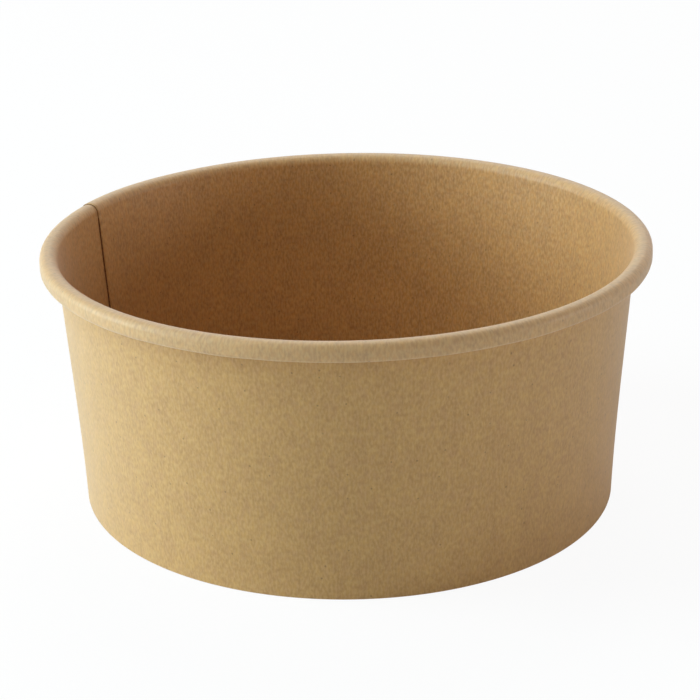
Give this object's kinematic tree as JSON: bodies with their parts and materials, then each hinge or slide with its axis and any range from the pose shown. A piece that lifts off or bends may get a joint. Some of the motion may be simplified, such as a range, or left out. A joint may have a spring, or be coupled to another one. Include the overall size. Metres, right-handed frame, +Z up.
{
  "type": "kraft salad bowl",
  "caption": "Round disposable bowl of kraft paperboard for salad, with a rolled rim, a lapped side seam and a floor set up inside the foot.",
  "frame": {"origin": "centre of the foot, on the table the bowl stands on", "axes": "+Z up along the bowl's axis; the picture looks along +Y with +X to the right"},
  "size_m": [0.15, 0.15, 0.0656],
  "materials": {
    "kraft_wall_board": "matte",
    "kraft_base_board": "matte"
  },
  "bodies": {
    "root": {"side_wall": "kraft_wall_board", "base_disc": "kraft_base_board"}
  },
  "joints": []
}
